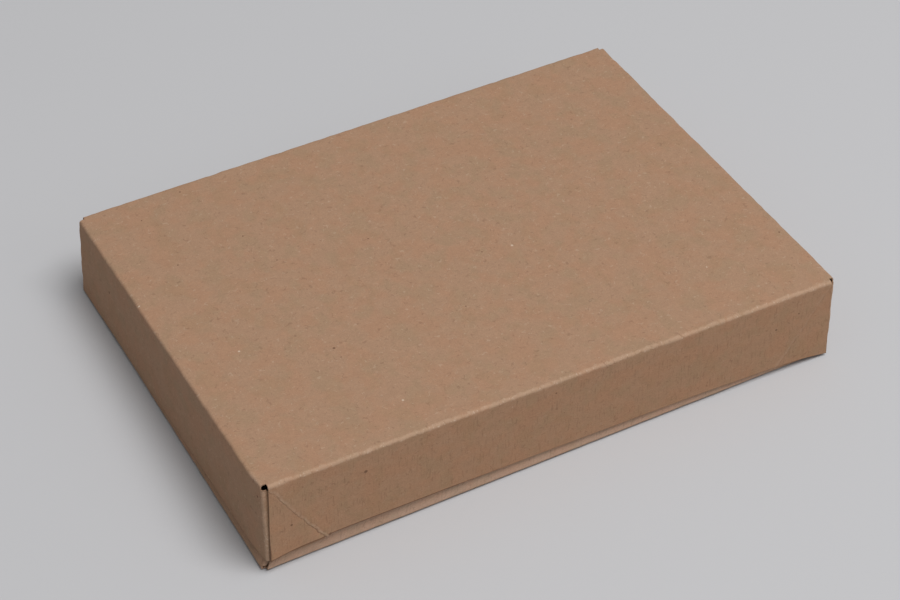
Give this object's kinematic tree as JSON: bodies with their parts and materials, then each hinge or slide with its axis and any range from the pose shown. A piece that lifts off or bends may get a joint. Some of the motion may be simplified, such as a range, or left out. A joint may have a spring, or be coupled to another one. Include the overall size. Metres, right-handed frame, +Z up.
{
  "type": "two-piece apparel box",
  "caption": "Shallow rectangular kraft paperboard apparel box: a folded base with a telescoping lid that lifts straight off.",
  "frame": {"origin": "centre of the base's flat underside", "axes": "+X along the box's length, +Y across it towards the back, +Z up through the lid"},
  "size_m": [0.2986, 0.2175, 0.0503],
  "materials": {
    "kraft_board": "matt uncoated natural kraft paperboard with fine fibres and flecks"
  },
  "bodies": {
    "base": {"base": "kraft_board"},
    "lid": {"lid": "kraft_board"}
  },
  "joints": [
    {"name": "lid_lift", "type": "slide", "parent": "base", "child": "lid", "axis": [0, 0, 1], "range_m": [0, 0.06]}
  ]
}
